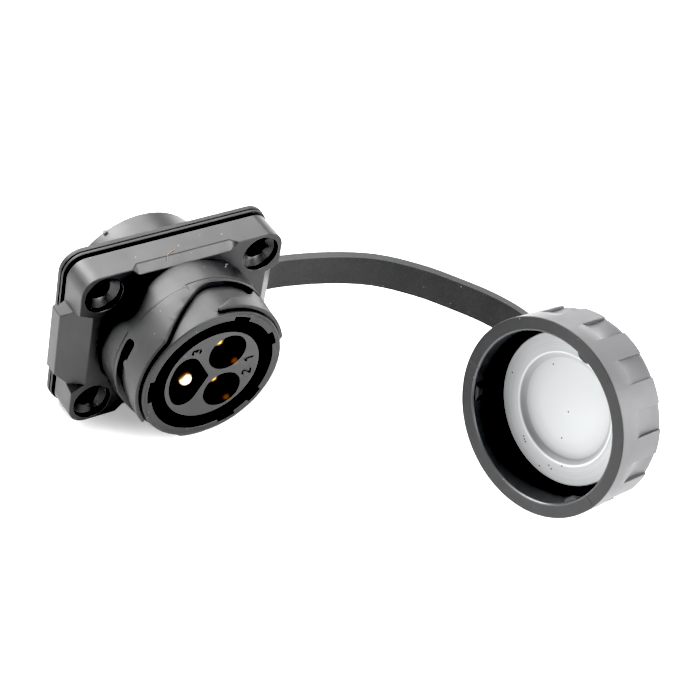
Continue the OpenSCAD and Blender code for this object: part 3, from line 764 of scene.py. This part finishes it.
class SOCKET_OT_housing(bpy.types.Operator):
    """Housing moulding with rounded edges, and the small nub on the edge of its spigot"""
    bl_idname = "socket.housing"
    bl_label = "Housing"

    def execute(self, context):
        sizes = context.scene.socket_sizes
        shell = moulded_copy("housing", "housing_moulding", sizes.housing_edge)
        paint(shell, finish_of("housing_plastic"))
        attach(shell, "socket")
        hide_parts("housing")
        self.add_nub(context, sizes)
        return {"FINISHED"}

    def add_nub(self, context, sizes):
        sunk = sizes.nub_out / 2
        bpy.ops.object.select_all(action="DESELECT")
        bpy.ops.mesh.primitive_cube_add(size=1)
        nub = context.object
        nub.name = "spigot_nub"
        nub.scale = (sizes.nub_out + sunk, sizes.nub_w, sizes.nub_len)
        out = sizes.spigot_r + (sizes.nub_out - sunk) / 2
        back = (sizes.nub_len - sizes.spigot_len * 2) / 2
        nub.location = (out, 0, back)
        context.view_layer.update()
        settle(nub, FRONT @ Matrix.Rotation(NUB_TURN, 4, "Z"))
        round_edges(nub, sizes.housing_edge)
        paint(nub, finish_of("pale_plastic"))
        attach(nub, "socket")


class SOCKET_OT_insert(bpy.types.Operator):
    """Insert moulding with softened edges at its wells and numbers"""
    bl_idname = "socket.insert"
    bl_label = "Insert"

    def execute(self, context):
        sizes = context.scene.socket_sizes
        body = moulded_copy("contact_insert", "insert_moulding", sizes.insert_edge, steps=2)
        paint(body, finish_of("insert_plastic"))
        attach(body, "socket")
        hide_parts("contact_insert")
        return {"FINISHED"}


class SOCKET_OT_hardware(bpy.types.Operator):
    """Finishes of the contacts, screws, ring seals, retainer and rivet"""
    bl_idname = "socket.hardware"
    bl_label = "Contacts and hardware"

    def execute(self, context):
        finishes = {
            "gold": ["contact_1", "contact_2", "contact_3"],
            "steel": ["terminal_screws", "swivel_rivet"],
            "rubber": ["insert_seal", "contact_seals"],
            "insert_plastic": ["insert_retainer"],
        }
        for finish, nodes in finishes.items():
            for node in nodes:
                paint(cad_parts[node], finish_of(finish))
        return {"FINISHED"}


class SOCKET_OT_gasket_strap(bpy.types.Operator):
    """Gasket, strap and eye as one moulding with rounded edges"""
    bl_idname = "socket.gasket_strap"
    bl_label = "Gasket and strap"

    def execute(self, context):
        sizes = context.scene.socket_sizes
        strap = moulded_copy("gasket_tether", "gasket_and_strap", sizes.strap_edge, steps=2)
        paint(strap, finish_of("rubber"))
        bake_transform(strap)
        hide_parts("gasket_tether")
        return {"FINISHED"}


class SOCKET_OT_cap(bpy.types.Operator):
    """Cap moulding with rounded edges, grip pockets and lugs"""
    bl_idname = "socket.cap"
    bl_label = "Cap"

    def execute(self, context):
        sizes = context.scene.socket_sizes
        shell = moulded_copy("cap_shell", "cap_moulding", sizes.cap_edge)
        paint(shell, finish_of("cap_plastic"))
        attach(shell, "cap")
        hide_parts("cap_shell")
        return {"FINISHED"}


class SOCKET_OT_seal(bpy.types.Operator):
    """Pale seal disc, inset step by step from its rim to its dished middle"""
    bl_idname = "socket.seal"
    bl_label = "Seal"

    def execute(self, context):
        sizes = context.scene.socket_sizes
        bpy.ops.object.select_all(action="DESELECT")
        bpy.ops.mesh.primitive_cylinder_add(
            vertices=SEAL_SIDES, radius=sizes.seal_r, depth=sizes.seal_t,
            location=(0, 0, sizes.seal_depth + sizes.seal_t / 2))
        disc = context.object
        disc.name = "pale_seal"
        editing(disc)
        select_faces(disc, lambda face: face.normal.z < -FACING)
        for inset, rise in self.face_steps(sizes):
            bpy.ops.mesh.inset(thickness=inset, depth=rise)
        done_editing()
        settle(disc, CAP_FRAME)
        round_edges(disc, sizes.seal_edge)
        paint(disc, finish_of("seal"))
        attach(disc, "cap")
        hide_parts("cap_seal")
        return {"FINISHED"}

    def face_steps(self, sizes):
        """Insets and rises of the face: flat ring, fine ridge, wall of the dish and its floor."""
        ridge = sizes.seal_ridge
        ring = sizes.seal_r - sizes.seal_dish_r - 2 * ridge
        steps = [(ring, 0), (ridge, ridge / 2), (ridge, 0)]
        steps += [(w * sizes.seal_dish_wall, -d * sizes.seal_dish) for w, d in SEAL_WALL_STEPS]
        return steps + [(w * sizes.seal_dish_r, 0) for w in SEAL_FLOOR_RINGS]


# Lint: name, finish, points on the surface, thickness
LINT = [
    ("flange_fibre", "lint",
     [(-1.1, -5.3, 15.06), (-2.1, -5.6, 15.06), (-2.8, -6.1, 14.98), (-3.1, -6.6, 14.42)], 0.11),
    ("barrel_flake", "pale_plastic",
     [(7.4, -7.9, 11.6), (6.9, -8.2, 11.9), (6.6, -8.8, 12.08), (6.2, -9.1, 12.28)], 0.16),
]


class SOCKET_OT_lint(bpy.types.Operator):
    """Fibre on the top of the flange and a pale flake on the barrel"""
    bl_idname = "socket.lint"
    bl_label = "Lint"

    def execute(self, context):
        for name, finish, points, width in LINT:
            bpy.ops.object.select_all(action="DESELECT")
            bpy.ops.curve.primitive_bezier_curve_add()
            strand = context.object
            strand.name = name
            bpy.ops.object.location_clear()
            spline = strand.data.splines[0]
            spline.bezier_points.add(len(points) - len(spline.bezier_points))
            for knot, place in zip(spline.bezier_points, points):
                knot.co = Vector(place) * MM
                knot.handle_left_type = knot.handle_right_type = "AUTO"
            strand.data.bevel_depth = width * MM / 2
            strand.data.bevel_resolution = 1
            strand.data.use_fill_caps = True
            strand.data.resolution_u = 6
            activate(strand)
            bpy.ops.object.convert(target="MESH")
            strand = context.object
            bpy.ops.object.shade_smooth()
            paint(strand, finish_of(finish))
            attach(strand, "socket")
        return {"FINISHED"}


# Studio

# Softboxes: azimuth from +X towards +Y and elevation in degrees, strength in watts
SOFTBOXES = [
    (0, 10, 0.8), (30, 10, 1.5), (150, 10, 1.2), (300, 10, 0.8), (330, 10, 2.6),
    (0, 35, 0.9), (72, 35, 2.6), (108, 35, 6.3), (144, 35, 1.4), (288, 35, 6.3),
    (60, 60, 2.1), (120, 60, 1.5), (232, 25, 0.7),
]

# Floor: width and gap under the part in metres, and roughness
FLOOR_WIDTH = 4
FLOOR_GAP = 0.2 * MM
FLOOR_ROUGH = 0.9

# Camera: its place, its right and forward directions, width of its sensor in millimetres, and its nearest
# view in metres
CAMERA_PLACE = Vector((-150.17, -226.04, 230.05)) * MM
CAMERA_RIGHT = Vector((0.83375, -0.52736, 0.16358))
CAMERA_FORWARD = Vector((0.49269, 0.57682, -0.65156))
CAMERA_SENSOR = 36
CAMERA_NEAR = 0.01


class SOCKET_OT_studio(bpy.types.Operator):
    """Pale floor, soft light and the camera"""
    bl_idname = "socket.studio"
    bl_label = "Studio"

    def execute(self, context):
        look = context.scene.socket_studio
        low, high = CAD_BOX
        middle = (low + high) / 2
        self.add_floor(context, look, (middle.x, middle.y, low.z - FLOOR_GAP))
        self.add_softboxes(context, look, middle)
        self.add_backdrop(context, look)
        self.add_camera(context, look)
        return {"FINISHED"}

    def add_floor(self, context, look, place):
        bpy.ops.object.select_all(action="DESELECT")
        bpy.ops.mesh.primitive_plane_add(size=FLOOR_WIDTH, location=place)
        floor = context.object
        floor.name = "studio_floor"
        made, tree, shader = new_material("Pale floor")
        feed(tree, shader, {
            "Base Color": (*look.floor, 1), "Roughness": FLOOR_ROUGH, "Emission Color": WHITE,
            "Emission Strength": look.glow})
        paint(floor, made)

    def add_softboxes(self, context, look, middle):
        for azimuth, elevation, strength in SOFTBOXES:
            turn = Euler((0, math.radians(-elevation), math.radians(azimuth)))
            away = turn.to_matrix() @ Vector((1, 0, 0))
            lamp = bpy.data.lights.new("Softbox", "AREA")
            lamp.size = look.softbox
            lamp.energy = strength
            stand = bpy.data.objects.new("Softbox", lamp)
            stand.location = middle + away * look.distance
            stand.rotation_euler = away.to_track_quat("Z", "Y").to_euler()
            context.scene.collection.objects.link(stand)

    def add_backdrop(self, context, look):
        """White backdrop that only the camera sees, and the black level of the picture."""
        world = bpy.data.worlds.new("Studio")
        context.scene.world = world
        world.use_nodes = True
        tree = world.node_tree
        seen = add(tree, "LightPath").outputs["Is Camera Ray"]
        feed(tree, tree.nodes["Background"].inputs, {"Color": WHITE, "Strength": seen})
        view = context.scene.view_settings
        view.view_transform = "Standard"
        view.use_curve_mapping = True
        view.curve_mapping.black_level = (look.black,) * 3
        view.curve_mapping.update()

    def add_camera(self, context, look):
        lens = bpy.data.cameras.new("Photo camera")
        lens.sensor_width = CAMERA_SENSOR
        lens.lens = look.lens
        lens.clip_start = CAMERA_NEAR
        camera = bpy.data.objects.new("Photo camera", lens)
        up = CAMERA_RIGHT.cross(CAMERA_FORWARD)
        camera.matrix_world = Matrix((CAMERA_RIGHT, up, -CAMERA_FORWARD)).transposed().to_4x4()
        camera.location = CAMERA_PLACE
        context.scene.collection.objects.link(camera)
        context.scene.camera = camera


# Panel and registration

class SOCKET_PT_panel(bpy.types.Panel):
    """Steps of the socket, in order"""
    bl_idname = "SOCKET_PT_panel"
    bl_label = "Flange mount socket"
    bl_space_type = "VIEW_3D"
    bl_region_type = "UI"
    bl_category = "Socket"

    def draw(self, context):
        for step in STEPS:
            self.layout.operator(step.bl_idname)


STEPS = [SOCKET_OT_studio, SOCKET_OT_housing, SOCKET_OT_insert, SOCKET_OT_hardware, SOCKET_OT_gasket_strap,
         SOCKET_OT_cap, SOCKET_OT_seal, SOCKET_OT_lint]
CLASSES = [SocketSizes, SocketFinish, SocketStudio, *STEPS, SOCKET_PT_panel]
SETTINGS = {"socket_sizes": SocketSizes, "socket_finish": SocketFinish, "socket_studio": SocketStudio}


def register():
    for made in CLASSES:
        bpy.utils.register_class(made)
    for name, group in SETTINGS.items():
        setattr(bpy.types.Scene, name, PointerProperty(type=group))


def unregister():
    for name in SETTINGS:
        delattr(bpy.types.Scene, name)
    for made in reversed(CLASSES):
        bpy.utils.unregister_class(made)


def main():
    register()
    for step in STEPS:
        family, name = step.bl_idname.split(".")
        getattr(getattr(bpy.ops, family), name)()


if __name__ == "__main__":
    main()
